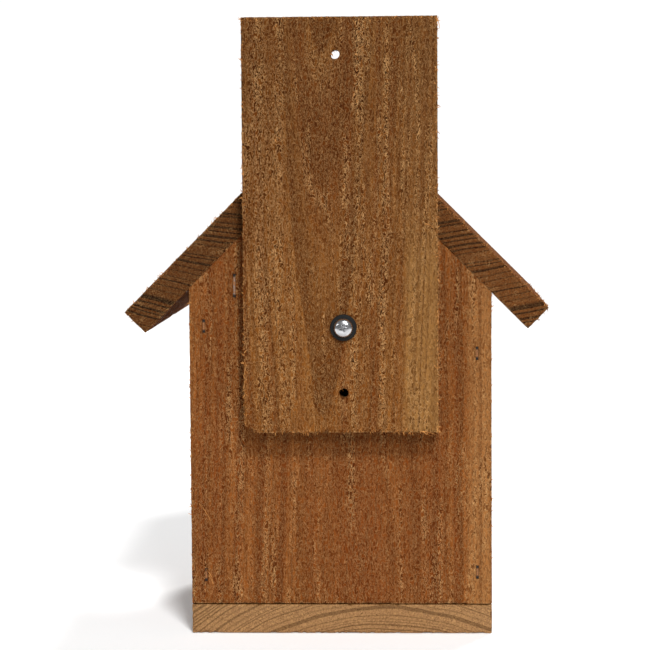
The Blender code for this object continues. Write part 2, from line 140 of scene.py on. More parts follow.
# How each board lay in its log. pith: a point on the pith, from the board's middle, in mm.
# turn: how the pith leans, in degrees about X and Y. ring: width of a year's growth in mm.
# wander: how far the rings stray, mm. torn: how much of the face the saw has torn, 0 to 1.
# columns and bands: middle, half width in mm and strength of torn columns and redder bands.
# seed: sets its pattern apart. years: how dark the ring lines are where the end shows.
# tint and ends: what the colours of the faces and of the ends are multiplied by.
CUTS = {
    "mounting_board": dict(
        pith=(-7.5, 32.5, 0), turn=(2.0, 0.4, 0), ring=2.5, wander=1.6, torn=0.5, seed=3,
        columns=(
            (7.2, 2.6, 1.0), (21.0, 2.2, 1.0), (-35.5, 3.5, 0.8), (-27.5, 3.5, 0.8), (34.0, 1.4, 0.7),
        ),
        bands=((2.3, 2.0, 0.8), (16.8, 2.0, 0.7), (-42.5, 2.0, 0.5)),
        tint="#b9a380", years=0.6, ends="#b9a380",
    ),
    "back_wall": dict(
        pith=(9, -86, 0), turn=(0.7, 0.8, 0), ring=2.9, wander=1.4, torn=0.5, seed=11,
        columns=((-36.0, 2.2, 0.8), (-47.0, 2.0, 0.7), (62.0, 1.6, 0.6)),
        bands=((38.0, 16.0, 0.45), (-12.0, 4.0, 0.5), (-56.0, 3.0, 0.5)),
        tint="#d2ae86", years=0.6, ends="#c9aa86",
    ),
    "side_wall_left": dict(
        pith=(60, 20, 0), turn=(0.8, 1.2, 0), ring=2.8, wander=1.6, torn=0.5, seed=19,
        columns=(), bands=(), tint="#cfac86", years=0.6, ends="#c9aa86",
    ),
    "side_wall_right": dict(
        pith=(-75, -12, 0), turn=(-0.7, 1.0, 0), ring=3.1, wander=1.6, torn=0.5, seed=27,
        columns=(), bands=(), tint="#d2b08b", years=0.6, ends="#ccae8b",
    ),
    "front_door": dict(
        pith=(-12, 60, 0), turn=(1.8, -0.8, 0), ring=3.0, wander=1.8, torn=0.5, seed=35,
        columns=((22.0, 2.4, 0.7),), bands=((-30.0, 4.0, 0.5),),
        tint="#d2ae86", years=0.6, ends="#c9aa86",
    ),
    "roof_panel_left": dict(
        pith=(286, 0, 214), turn=(90, 0, 0), ring=2.7, wander=1.7, torn=0.5, seed=43,
        columns=(), bands=(), tint="#cfac86", years=1.0, ends="#7d6044",
    ),
    "roof_panel_right": dict(
        pith=(-286, 0, 214), turn=(90, 0, 0), ring=2.7, wander=1.7, torn=0.5, seed=51,
        columns=(), bands=(), tint="#d2b08b", years=0.9, ends="#957454",
    ),
    "floor_board": dict(
        pith=(20, 0, -112), turn=(90, 0, 0), ring=1.9, wander=1.6, torn=0.5, seed=59,
        columns=(), bands=(), tint="#e2e4dc", years=0.55, ends="#efece4",
    ),
}
TILT = {"roof_panel_left": math.radians(-45), "roof_panel_right": math.radians(45)}


def cedar_grain(put, spot, cut, half):
    """Rings, torn wool, pits and saw lines at a spot given in mm from the board's middle.

    The same nodes serve the mesh and the shader, so colour and relief fall together."""
    centred = put("ShaderNodeVectorMath", {0: spot, 1: cut["pith"]}, operation="SUBTRACT")
    lean = [math.radians(a) for a in cut["turn"]]
    log = put(
        "ShaderNodeVectorRotate", {0: centred, 4: lean}, rotation_type="EULER_XYZ", invert=True
    )
    apart = (37.0 * cut["seed"], 11.0 * cut["seed"], 0.0)
    here = put("ShaderNodeVectorMath", {0: log, 1: apart}, operation="ADD")

    # Growth rings about the pith, straying along the trunk
    far = put("ShaderNodeVectorMath", {0: here, 1: (24, 24, 110)}, operation="DIVIDE")
    stray = put("ShaderNodeTexNoise", {"Vector": far, "Scale": 1.0, "Detail": 1.5})
    reach = [2 * cut["wander"]] * 3
    push = put(
        "ShaderNodeVectorMath", {0: stray.outputs[1], 1: reach, 2: [-cut["wander"]] * 3},
        operation="MULTIPLY_ADD",
    )
    moved = put("ShaderNodeVectorMath", {0: log, 1: push}, operation="ADD")
    flat = put("ShaderNodeVectorMath", {0: moved, 1: (1, 1, 0)}, operation="MULTIPLY")
    radius = put("ShaderNodeVectorMath", {0: flat}, operation="LENGTH").outputs["Value"]
    uneven = put(
        "ShaderNodeTexNoise", {"W": radius, "Scale": 0.12, "Detail": 2.0}, noise_dimensions="1D"
    )
    years = put("ShaderNodeMath", {0: radius, 1: 1 / cut["ring"]}, operation="MULTIPLY")
    years = put("ShaderNodeMath", {0: uneven, 1: 2.5, 2: years}, operation="MULTIPLY_ADD")
    within = put("ShaderNodeMath", {0: years}, operation="FRACT")
    number = put("ShaderNodeMath", {0: years}, operation="FLOOR")
    strong = put("ShaderNodeTexWhiteNoise", {"W": number}, noise_dimensions="1D").outputs["Value"]
    rise = put("ShaderNodeMapRange", {0: within, 1: 0.4, 2: 0.88}, interpolation_type="SMOOTHSTEP")
    fall = put("ShaderNodeMapRange", {0: within, 1: 1.0, 2: 0.94}, interpolation_type="SMOOTHSTEP")
    late = put("ShaderNodeMath", {0: rise, 1: fall}, operation="MULTIPLY")
    weight = put("ShaderNodeMapRange", {0: strong, 1: 0, 2: 1, 3: 0.25, 4: 1})
    late = put("ShaderNodeMath", {0: late, 1: weight}, operation="MULTIPLY")

    # Where the blade tore the wood: long columns, worst in some years' growth
    size = put("ShaderNodeVectorMath", {0: here, 1: (4.5, 4.5, 60)}, operation="DIVIDE")
    rough = put(
        "ShaderNodeTexNoise", {"Vector": size, "Scale": 1.0, "Detail": 2.0, "Roughness": 0.55}
    )
    start = 0.66 - 0.25 * cut["torn"]
    torn = put(
        "ShaderNodeMapRange", {0: rough, 1: start, 2: start + 0.16, 4: 0.7},
        interpolation_type="SMOOTHSTEP",
    )
    seam = put("ShaderNodeMapRange", {0: within, 1: 0.5, 2: 0.05}, interpolation_type="SMOOTHSTEP")
    size = put("ShaderNodeVectorMath", {0: here, 1: (9, 9, 22)}, operation="DIVIDE")
    patchy = put("ShaderNodeTexNoise", {"Vector": size, "Scale": 1.0, "Detail": 2.0})
    patchy = put("ShaderNodeMapRange", {0: patchy, 1: start - 0.1, 2: start + 0.1})
    seam = put("ShaderNodeMath", {0: seam, 1: patchy}, operation="MULTIPLY")
    seam = put("ShaderNodeMath", {0: seam, 1: weight}, operation="MULTIPLY")
    torn = put(
        "ShaderNodeMath", {0: seam, 1: 0.8, 2: torn}, operation="MULTIPLY_ADD", use_clamp=True
    )
    red = 0.0
    drift = put("ShaderNodeMapRange", {0: stray, 1: 0.3, 2: 0.7, 3: -2.2, 4: 2.2})
    side = put("ShaderNodeSeparateXYZ", {0: spot}).outputs[0]
    side = put("ShaderNodeMath", {0: side, 1: drift}, operation="ADD")
    uneven = put("ShaderNodeMapRange", {0: patchy, 1: 0.0, 2: 1.0, 3: 0.45, 4: 1.0})
    for kind in ("columns", "bands"):
        for middle, reach, strength in cut[kind]:
            near = put("ShaderNodeMath", {0: side, 1: middle}, operation="SUBTRACT")
            near = put("ShaderNodeMath", {0: near}, operation="ABSOLUTE")
            near = put(
                "ShaderNodeMapRange", {0: near, 1: reach, 2: 0.35 * reach, 3: 0.0, 4: strength},
                interpolation_type="SMOOTHSTEP",
            )
            if kind == "bands":
                red = put("ShaderNodeMath", {0: near, 1: red}, operation="MAXIMUM")
            else:
                near = put("ShaderNodeMath", {0: near, 1: uneven}, operation="MULTIPLY")
                torn = put("ShaderNodeMath", {0: near, 1: torn}, operation="MAXIMUM")

    # The wool itself: fibres about half a millimetre thick, curling a little
    size = put("ShaderNodeVectorMath", {0: here, 1: (2.2, 2.2, 3.6)}, operation="DIVIDE")
    curl = put("ShaderNodeTexNoise", {"Vector": size, "Scale": 1.0, "Detail": 1.0}).outputs[1]
    bent = put(
        "ShaderNodeVectorMath", {0: curl, 1: (2.2, 2.2, 3.0), 2: here}, operation="MULTIPLY_ADD"
    )
    size = put("ShaderNodeVectorMath", {0: bent, 1: (0.68, 0.68, 2.0)}, operation="DIVIDE")
    tuft = put(
        "ShaderNodeTexNoise", {"Vector": size, "Scale": 1.0, "Detail": 2.5, "Roughness": 0.6}
    )
    hair = put("ShaderNodeMath", {0: tuft, 1: 0.5}, operation="SUBTRACT")
    hair = put("ShaderNodeMath", {0: hair}, operation="ABSOLUTE")
    hair = put("ShaderNodeMapRange", {0: hair, 1: 0.06, 2: 0.0}, interpolation_type="SMOOTHSTEP")
    mat = put("ShaderNodeMapRange", {0: tuft, 1: 0.32, 2: 0.68}, interpolation_type="SMOOTHSTEP")

    # Pits where a tuft came away
    size = put("ShaderNodeVectorMath", {0: bent, 1: (2.1, 2.1, 2.6)}, operation="DIVIDE")
    cell = put("ShaderNodeTexVoronoi", {"Vector": size, "Scale": 1.0})
    pit = put(
        "ShaderNodeMapRange", {0: cell.outputs["Distance"], 1: 0.3, 2: 0.16},
        interpolation_type="SMOOTHSTEP",
    )
    pick = put("ShaderNodeSeparateXYZ", {0: cell.outputs["Color"]})
    chance = put("ShaderNodeMath", {0: pick, 1: 1 - 0.4 * cut["torn"]}, operation="GREATER_THAN")
    pit = put("ShaderNodeMath", {0: pit, 1: chance}, operation="MULTIPLY")
    deep = put("ShaderNodeMapRange", {0: torn, 1: 0.4, 2: 0.9})
    pit = put("ShaderNodeMath", {0: pit, 1: deep}, operation="MULTIPLY")

    # Blade marks straight across the grain, and how near an arris is
    size = put("ShaderNodeVectorMath", {0: here, 1: (70, 70, 1.5)}, operation="DIVIDE")
    kerf = put("ShaderNodeTexNoise", {"Vector": size, "Scale": 1.0, "Detail": 1.0})
    side = put("ShaderNodeVectorMath", {0: spot}, operation="ABSOLUTE")
    side = put("ShaderNodeVectorMath", {0: half, 1: side}, operation="SUBTRACT")
    x, y, z = put("ShaderNodeSeparateXYZ", {0: side}).outputs
    small = put("ShaderNodeMath", {0: x, 1: y}, operation="MINIMUM")
    large = put("ShaderNodeMath", {0: x, 1: y}, operation="MAXIMUM")
    large = put("ShaderNodeMath", {0: large, 1: z}, operation="MINIMUM")
    arris = put("ShaderNodeMath", {0: small, 1: large}, operation="MAXIMUM")

    # Depth below the sawn face, 0 to 1
    low = put("ShaderNodeMapRange", {0: mat, 1: 1.0, 2: 0.0, 3: 0.0, 4: 0.3})
    more = put("ShaderNodeMapRange", {0: torn, 1: 0.0, 2: 1.0, 3: 0.35, 4: 1.0})
    low = put("ShaderNodeMath", {0: low, 1: more}, operation="MULTIPLY")
    low = put("ShaderNodeMath", {0: late, 1: 0.08, 2: low}, operation="MULTIPLY_ADD")
    low = put("ShaderNodeMath", {0: pit, 1: 0.6, 2: low}, operation="MULTIPLY_ADD")
    low = put("ShaderNodeMath", {0: kerf, 1: 0.12, 2: low}, operation="MULTIPLY_ADD")
    return dict(
        here=here, radius=radius, late=late, torn=torn, hair=hair, mat=mat, pit=pit, kerf=kerf,
        red=red,
        arris=arris, low=low,
    )


def rough_cedar(name, wood):
    """Western red cedar, rough from the bandsaw and left bare: dull and woolly, its torn fibres
    paler than the wood, dark latewood lines along the grain and rings where the end shows."""
    cut = CUTS[name]
    low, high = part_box(name)
    made, put, shader = shader_tree(f"rough_sawn_cedar_{name}")
    place = put("ShaderNodeTexCoord").outputs
    tilt = TILT.get(name, 0.0)
    spot = put(
        "ShaderNodeMapping",
        {0: place["Object"], 1: (low + high) / 2, 2: (0, tilt, 0), 3: (0.001, 0.001, 0.001)},
        vector_type="TEXTURE",
    )
    grain = cedar_grain(put, spot, cut, half_size(name))
    here = grain["here"]

    # Slow changes of colour: patches, bands of years, streaks along the fibres
    size = put("ShaderNodeVectorMath", {0: here, 1: (16, 16, 75)}, operation="DIVIDE")
    patch = put("ShaderNodeTexNoise", {"Vector": size, "Scale": 1.0, "Detail": 2.0})
    patch = put("ShaderNodeMapRange", {0: patch, 1: 0.36, 2: 0.64})
    band = put(
        "ShaderNodeTexNoise", {"W": grain["radius"], "Scale": 0.2, "Detail": 2.0},
        noise_dimensions="1D",
    )
    band = put("ShaderNodeMapRange", {0: band, 1: 0.45, 2: 0.62, 3: 0.0, 4: 0.75})
    size = put("ShaderNodeVectorMath", {0: here, 1: (0.85, 0.85, 30)}, operation="DIVIDE")
    streak = put(
        "ShaderNodeTexNoise", {"Vector": size, "Scale": 1.0, "Detail": 3.0, "Roughness": 0.62}
    )
    streak = put("ShaderNodeMapRange", {0: streak, 1: 0.38, 2: 0.7, 3: 0.0, 4: 0.8})
    face = put("ShaderNodeMix", {0: patch, 6: wood.heart, 7: wood.pale}, data_type="RGBA")
    face = put("ShaderNodeMix", {0: band, 6: face, 7: wood.red}, data_type="RGBA")
    face = put("ShaderNodeMix", {0: grain["red"], 6: face, 7: wood.red}, data_type="RGBA")
    face = put("ShaderNodeMix", {0: streak, 6: face, 7: wood.late}, data_type="RGBA")
    if name in SAPWOOD:
        edge, top = SAPWOOD[name]
        x, y, z = put("ShaderNodeSeparateXYZ", {0: spot}).outputs
        x = put("ShaderNodeMath", {0: grain["torn"], 1: 2.5, 2: x}, operation="MULTIPLY_ADD")
        sap = put(
            "ShaderNodeMapRange", {0: x, 1: edge - 2, 2: edge + 3}, interpolation_type="SMOOTHSTEP"
        )
        rise = put("ShaderNodeMapRange", {0: z, 1: top + 14, 2: top - 14, 3: 0.2, 4: 0.8})
        sap = put("ShaderNodeMath", {0: sap, 1: rise}, operation="MULTIPLY")
        face = put("ShaderNodeMix", {0: sap, 6: face, 7: wood.sap}, data_type="RGBA")
    # Painted light and shade: the mounting board's colour is multiplied darker towards its top and lighter
    # towards its bottom, as the light falls across it
    if name == "mounting_board":
        z = put("ShaderNodeSeparateXYZ", {0: spot}).outputs[2]
        z = put("ShaderNodeMapRange", {0: z, 1: 60, 2: -70, 3: 0.0, 4: 1.0})
        painted_light_falloff = put(
            "ShaderNodeMix", {0: z, 6: (0.88, 0.88, 0.86, 1), 7: (1.22, 1.22, 1.1, 1)},
            data_type="RGBA",
        )
        face = put(
            "ShaderNodeMix", {0: 1.0, 6: face, 7: painted_light_falloff}, data_type="RGBA", blend_type="MULTIPLY"
        )
    line = put("ShaderNodeMath", {0: grain["late"], 1: 0.85}, operation="MULTIPLY")
    face = put("ShaderNodeMix", {0: line, 6: face, 7: wood.late}, data_type="RGBA")

    # End grain shows on faces square to the pith
    lean = [math.radians(a) for a in cut["turn"]]
    axis = Matrix.Rotation(tilt, 3, "Y") @ Matrix.Rotation(lean[0], 3, "X") @ Vector((0, 0, 1))
    facing = put("ShaderNodeVectorMath", {0: place["Normal"], 1: axis}, operation="DOT_PRODUCT")
    facing = put("ShaderNodeMath", {0: facing.outputs["Value"]}, operation="ABSOLUTE")
    end = put("ShaderNodeMapRange", {0: facing, 1: 0.6, 2: 0.85})
    size = put("ShaderNodeVectorMath", {0: here, 1: (0.75, 0.75, 0.9)}, operation="DIVIDE")
    speck = put(
        "ShaderNodeTexNoise", {"Vector": size, "Scale": 1.0, "Detail": 2.0, "Roughness": 0.7}
    )
    pale = put("ShaderNodeMapRange", {0: speck, 1: 0.5, 2: 0.66, 3: 0.0, 4: 0.75})
    dark = put("ShaderNodeMapRange", {0: speck, 1: 0.46, 2: 0.34, 3: 0.0, 4: 0.5})
    ends = put("ShaderNodeMix", {0: pale, 6: wood.end, 7: wood.fuzz_and_arris_highlight}, data_type="RGBA")
    ends = put("ShaderNodeMix", {0: dark, 6: ends, 7: wood.late}, data_type="RGBA")
    year = put("ShaderNodeMapRange", {0: grain["late"], 1: 0.1, 2: 0.5, 3: 0.0, 4: cut["years"]})
    ends = put("ShaderNodeMix", {0: year, 6: ends, 7: wood.year}, data_type="RGBA")
    face = put("ShaderNodeMix", {0: end, 6: face, 7: ends}, data_type="RGBA")
    tint = put(
        "ShaderNodeMix", {0: end, 6: tone(cut["tint"]), 7: tone(cut["ends"])}, data_type="RGBA"
    )
    face = put("ShaderNodeMix", {0: 1.0, 6: face, 7: tint}, data_type="RGBA", blend_type="MULTIPLY")

    # Painted shade and highlight: valleys between tufts are darkened as shade, raised fibres are pale, broken
    # arrises get a painted highlight, and pits are painted nearly black as shade
    valley_shade = put("ShaderNodeMapRange", {0: grain["mat"], 1: 0.72, 2: 0.0, 3: 0.0, 4: 0.95})
    more = put("ShaderNodeMapRange", {0: grain["torn"], 1: 0.0, 2: 1.0, 3: 0.45, 4: 1.0})
    valley_shade = put("ShaderNodeMath", {0: valley_shade, 1: more}, operation="MULTIPLY")
    calm = put("ShaderNodeMapRange", {0: end, 1: 0.0, 2: 1.0, 3: 1.0, 4: 0.6})
    valley_shade = put("ShaderNodeMath", {0: valley_shade, 1: calm}, operation="MULTIPLY")
    face = put(
        "ShaderNodeMix", {0: valley_shade, 6: face, 7: wood.valley}, data_type="RGBA", blend_type="MULTIPLY"
    )
    # Painted highlight: near each arris the fuzz colour is laid on, as light catching the broken edge
    arris_highlight = put("ShaderNodeMapRange", {0: grain["arris"], 1: 0.9, 2: 0.1, 3: 0.0, 4: 0.5})
    bright = put("ShaderNodeMapRange", {0: grain["torn"], 1: 0.0, 2: 1.0, 3: 0.35, 4: 0.95})
    bright = put("ShaderNodeMath", {0: bright, 1: arris_highlight}, operation="ADD", use_clamp=True)
    bright = put("ShaderNodeMath", {0: bright, 1: grain["hair"]}, operation="MULTIPLY")
    bright = put("ShaderNodeMath", {0: bright, 1: calm}, operation="MULTIPLY")
    face = put("ShaderNodeMix", {0: bright, 6: face, 7: wood.fuzz_and_arris_highlight}, data_type="RGBA")
    # Painted shade: pits are painted nearly black, as the shade deep inside them
    face = put("ShaderNodeMix", {0: grain["pit"], 6: face, 7: wood.pit}, data_type="RGBA")
    dull = put("ShaderNodeMapRange", {0: grain["kerf"], 1: 0.5, 2: 0.75, 3: 0.0, 4: 0.16})
    face = put("ShaderNodeMix", {0: dull, 6: face, 7: wood.late}, data_type="RGBA")

    # Fibre finer than the mesh
    size = put("ShaderNodeVectorMath", {0: here, 1: (0.5, 0.5, 3.5)}, operation="DIVIDE")
    fine = put(
        "ShaderNodeTexNoise", {"Vector": size, "Scale": 1.0, "Detail": 2.0, "Roughness": 0.6}
    )
    height = put("ShaderNodeMath", {0: fine, 1: 0.25}, operation="MULTIPLY")
    height = put("ShaderNodeMath", {0: height, 1: grain["low"]}, operation="SUBTRACT")
    height = put("ShaderNodeMath", {0: grain["hair"], 1: 0.2, 2: height}, operation="MULTIPLY_ADD")
    bump = put("ShaderNodeBump", {"Strength": 1.0, "Distance": wood.nap, "Height": height})
    wire_up(
        shader,
        {"Base Color": face, "Normal": bump, "Roughness": 1.0, "IOR": 1.5, "Specular IOR Level": 0.06},
    )
    return made


# Pale sapwood to the right of an edge, below a height, mm from the board's middle
SAPWOOD = {"mounting_board": (29.0, -4.0), "back_wall": (59.0, 40.0)}


def zinc_plate(name, colour, rough, grit):
    """Steel with a thin bright zinc plate: clear reflections broken by faint tumbling marks."""
    made, put, shader = shader_tree(name)
    place = put("ShaderNodeTexCoord").outputs["Object"]
    mm = put("ShaderNodeVectorMath", {0: place, "Scale": 1000.0}, operation="SCALE")
    marks = put(
        "ShaderNodeTexNoise", {"Vector": mm, "Scale": 1 / grit, "Detail": 3.0, "Roughness": 0.6}
    )
    film = put("ShaderNodeTexNoise", {"Vector": mm, "Scale": 0.45, "Detail": 2.0})
    haze = put("ShaderNodeMapRange", {0: film, 1: 0.35, 2: 0.7, 3: 0.0, 4: 0.25})
    skin = put("ShaderNodeMix", {0: haze, 6: tone(colour), 7: tone("#7b7b7d")}, data_type="RGBA")
    gloss = put("ShaderNodeMapRange", {0: film, 1: 0.3, 2: 0.7, 3: rough, 4: rough + 0.15})
    bump = put("ShaderNodeBump", {"Strength": 0.15, "Distance": 0.00004, "Height": marks})
    wire_up(shader, {"Base Color": skin, "Roughness": gloss, "Normal": bump, "Metallic": 1.0})
    return made


def dusted_wire_shaded_ends(node, colour):
    """Flat steel wire driven in and furred over with wood dust; its bent ends are painted near black, as the
    shade in the holes the legs go into.
    """
    low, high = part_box(node)
    made, put, shader = shader_tree("dusted_wire_shaded_ends_" + node)
    place = put("ShaderNodeTexCoord").outputs["Object"]
    mm = put(
        "ShaderNodeMapping", {0: place, 1: (low + high) / 2, 3: (0.001, 0.001, 0.001)},
        vector_type="TEXTURE",
    )
    along = put("ShaderNodeSeparateXYZ", {0: mm}).outputs[2]
    along = put("ShaderNodeMath", {0: along}, operation="ABSOLUTE")
    reach = 500 * (high.z - low.z)
    # Painted shade: the last millimetre or so at each end is painted near black, as the shade of the hole
    # each leg goes into
    ends = put("ShaderNodeMapRange", {0: along, 1: reach - 1.7, 2: reach - 0.9})
    grit = put("ShaderNodeTexNoise", {"Vector": mm, "Scale": 1.4, "Detail": 3.0, "Roughness": 0.6})
    bare = put("ShaderNodeMapRange", {0: grit, 1: 0.45, 2: 0.6})
    middle = put("ShaderNodeMix", {0: bare, 6: tone("#8b5a31"), 7: tone(colour)}, data_type="RGBA")
    skin = put("ShaderNodeMix", {0: ends, 6: middle, 7: tone("#1d140d")}, data_type="RGBA")
    bump = put("ShaderNodeBump", {"Strength": 0.5, "Distance": 0.0001, "Height": grit})
    wire_up(
        shader, {"Base Color": skin, "Roughness": 0.7, "Normal": bump, "Specular IOR Level": 0.3}
    )
    return made


def black_rubber():
    """Black nitrile sheet, punched: matt, faintly grey in patches."""
    made, put, shader = shader_tree("punched_black_rubber")
    place = put("ShaderNodeTexCoord").outputs["Object"]
    mm = put("ShaderNodeVectorMath", {0: place, "Scale": 1000.0}, operation="SCALE")
    skin = put("ShaderNodeTexNoise", {"Vector": mm, "Scale": 3.0, "Detail": 3.0, "Roughness": 0.6})
    dust = put("ShaderNodeMapRange", {0: skin, 1: 0.45, 2: 0.75})
    skin_colour = put(
        "ShaderNodeMix", {0: dust, 6: tone("#070707"), 7: tone("#161412")}, data_type="RGBA"
    )
    bump = put("ShaderNodeBump", {"Strength": 0.4, "Distance": 0.00008, "Height": skin})
    wire_up(shader, {"Base Color": skin_colour, "Roughness": 0.7, "Normal": bump, "Specular IOR Level": 0.25})
    return made


def alone():
    """Object mode with nothing selected."""
    if bpy.context.object and bpy.context.object.mode != "OBJECT":
        bpy.ops.object.mode_set(mode="OBJECT")
    for thing in bpy.context.selected_objects:
        thing.select_set(False)


def take(thing):
    """Leaves one thing selected and active."""
    alone()
    bpy.context.view_layer.objects.active = thing
    thing.select_set(True)


def settle(thing):
    """Its place goes into its mesh."""
    take(thing)
    bpy.ops.object.transform_apply(location=True, rotation=True, scale=True)


def finish(thing, material):
    """Gives a piece one material and no other."""
    thing.data.materials.clear()
    thing.data.materials.append(material)


def shape_with(thing, kind, **settings):
    """Adds a modifier, sets it and applies it."""
    take(thing)
    made = thing.modifiers.new(kind.lower(), kind)
    for key, value in settings.items():
        setattr(made, key, value)
    bpy.ops.object.modifier_apply(modifier=made.name)


def slab(name, low, high, cell):
    """A box cut into near-square cells on every face."""
    alone()
    middle = (Vector(low) + Vector(high)) / 2
    bpy.ops.mesh.primitive_cube_add(size=1.0, location=middle, scale=Vector(high) - Vector(low))
    made = bpy.context.object
    made.name = name
    settle(made)
    bpy.ops.object.mode_set(mode="EDIT")
    bpy.ops.mesh.select_mode(type="EDGE")
    for axis in range(3):
        length = 0.0
        shape = bmesh.from_edit_mesh(made.data)
        for edge in shape.edges:
            run = edge.verts[1].co - edge.verts[0].co
            edge.select = abs(run[axis]) > 0.9 * run.length
            if edge.select:
                length = max(length, run.length)
        bmesh.update_edit_mesh(made.data)
        bpy.ops.mesh.subdivide(number_cuts=max(1, round(length / cell) - 1))
    bpy.ops.object.mode_set(mode="OBJECT")
    return made


def solid_of(node, turn):
    """A merged copy of a CAD solid in a board's own frame."""
    copy = NODES[node].copy()
    copy.data = copy.data.copy()
    copy.name = node + "_solid"
    bpy.context.scene.collection.objects.link(copy)
    copy.parent = None
    copy.matrix_world = turn
    settle(copy)
    bpy.ops.object.mode_set(mode="EDIT")
    bpy.ops.mesh.select_all(action="SELECT")
    bpy.ops.mesh.remove_doubles(threshold=1e-7)
    bpy.ops.object.mode_set(mode="OBJECT")
    return copy


def own_frame(name):
    """From a board's own frame, lying square about its middle, to its place."""
    low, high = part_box(name)
    return Matrix.Translation((low + high) / 2) @ Matrix.Rotation(TILT.get(name, 0.0), 4, "Y")


def half_size(name):
    """Half a board's length, width and thickness in its own frame, in mm."""
    back = own_frame(name).inverted()
    spots = [back @ vertex.co for vertex in NODES[name].data.vertices]
    return [1000 * max(spot[i] for spot in spots) for i in range(3)]


def roughen(board, cut, half, wood):
    """Sinks the faces by the grain's own relief, and breaks the arrises."""
    tree = bpy.data.node_groups.new("saw_relief", "GeometryNodeTree")
    tree.interface.new_socket(name="Mesh", in_out="INPUT", socket_type="NodeSocketGeometry")
    tree.interface.new_socket(name="Mesh", in_out="OUTPUT", socket_type="NodeSocketGeometry")
    put = partial(add, tree)
    start = put("NodeGroupInput")
    spot = put("GeometryNodeInputPosition")
    mm = put("ShaderNodeVectorMath", {0: spot, "Scale": 1000.0}, operation="SCALE")
    grain = cedar_grain(put, mm, cut, half)
    sunk = put("ShaderNodeMapRange", {0: grain["low"], 1: 0.14, 2: 1.0, 3: 0.0, 4: -wood.relief})
    size = put("ShaderNodeVectorMath", {0: grain["here"], 1: (2.2, 2.2, 3.0)}, operation="DIVIDE")
    bite = put(
        "ShaderNodeTexNoise", {"Vector": size, "Scale": 1.0, "Detail": 2.0, "Roughness": 0.6}
    )
    bite = put("ShaderNodeMapRange", {0: bite, 1: 0.46, 2: 0.72, 3: 0.0, 4: 1.0})
    size = put("ShaderNodeVectorMath", {0: grain["here"], 1: (13, 13, 17)}, operation="DIVIDE")
    worse = put("ShaderNodeTexNoise", {"Vector": size, "Scale": 1.0, "Detail": 1.0})
    worse = put("ShaderNodeMapRange", {0: worse, 1: 0.38, 2: 0.62, 3: 0.25, 4: 1.0})
    bite = put("ShaderNodeMath", {0: bite, 1: worse}, operation="MULTIPLY")
    near = put("ShaderNodeMapRange", {0: grain["arris"], 1: 1.0, 2: 0.0})
    broken = put("ShaderNodeMath", {0: bite, 1: near}, operation="MULTIPLY")
    sunk = put("ShaderNodeMath", {0: broken, 1: -wood.fray, 2: sunk}, operation="MULTIPLY_ADD")
    outward = put("GeometryNodeInputNormal")
    offset = put("ShaderNodeVectorMath", {0: outward, "Scale": sunk}, operation="SCALE")
    moved = put("GeometryNodeSetPosition", {"Geometry": start, "Offset": offset})
    put("NodeGroupOutput", {0: moved})
    shape_with(board, "NODES", node_group=tree)
    bpy.data.node_groups.remove(tree)


def close_joint(board, facing):
    """Lifts the faces that look one way against the next board, so that no light shows between."""
    facing = Vector(facing).normalized()
    take(board)
    bpy.ops.object.mode_set(mode="EDIT")
    bpy.ops.mesh.select_mode(type="FACE")
    bpy.ops.mesh.select_all(action="DESELECT")
    shape = bmesh.from_edit_mesh(board.data)
    for part in shape.faces:
        part.select = part.normal.dot(facing) > SQUARE_ON
    bmesh.update_edit_mesh(board.data)
    bpy.ops.transform.translate(value=facing * JOINT_GAP)
    bpy.ops.object.mode_set(mode="OBJECT")


# Where torn fibres may stand, mm from a board's middle, so that none reaches a neighbour
FRINGE = {
    "mounting_board": ((-99, -99, -99), (99, 4.5, 99)),
    "back_wall": ((-99, -6.4, -99), (99, 5, 60)),
    "roof_panel_left": ((-99, -99, -2), (50, 90, 99)),
    "roof_panel_right": ((-45, -99, -2), (99, 90, 99)),
}


# One torn fibre, in metres: half thickness at foot and tip, length, foot below its root, bow
SLIVER_FOOT = 0.00024
SLIVER_TIP = 0.00006
SLIVER_LONG = 0.0016
SLIVER_ROOT = 0.0001
SLIVER_BOW = 0.0004


def sliver():
    """One torn fibre: tapered and bowed."""
    alone()
    bpy.ops.mesh.primitive_cone_add(
        vertices=5, radius1=SLIVER_FOOT, radius2=SLIVER_TIP, depth=SLIVER_LONG,
        location=(0, 0, SLIVER_LONG / 2 - SLIVER_ROOT),
    )
    made = bpy.context.object
    settle(made)
    bpy.ops.object.mode_set(mode="EDIT")
    bpy.ops.mesh.select_mode(type="EDGE")
    shape = bmesh.from_edit_mesh(made.data)
    for edge in shape.edges:
        edge.select = abs(edge.verts[0].co.z - edge.verts[1].co.z) > 0.001
    bmesh.update_edit_mesh(made.data)
    bpy.ops.mesh.subdivide(number_cuts=3)
    bpy.ops.object.mode_set(mode="OBJECT")
    for vertex in made.data.vertices:
        vertex.co.x += SLIVER_BOW * (vertex.co.z / SLIVER_LONG) ** 2
    return made


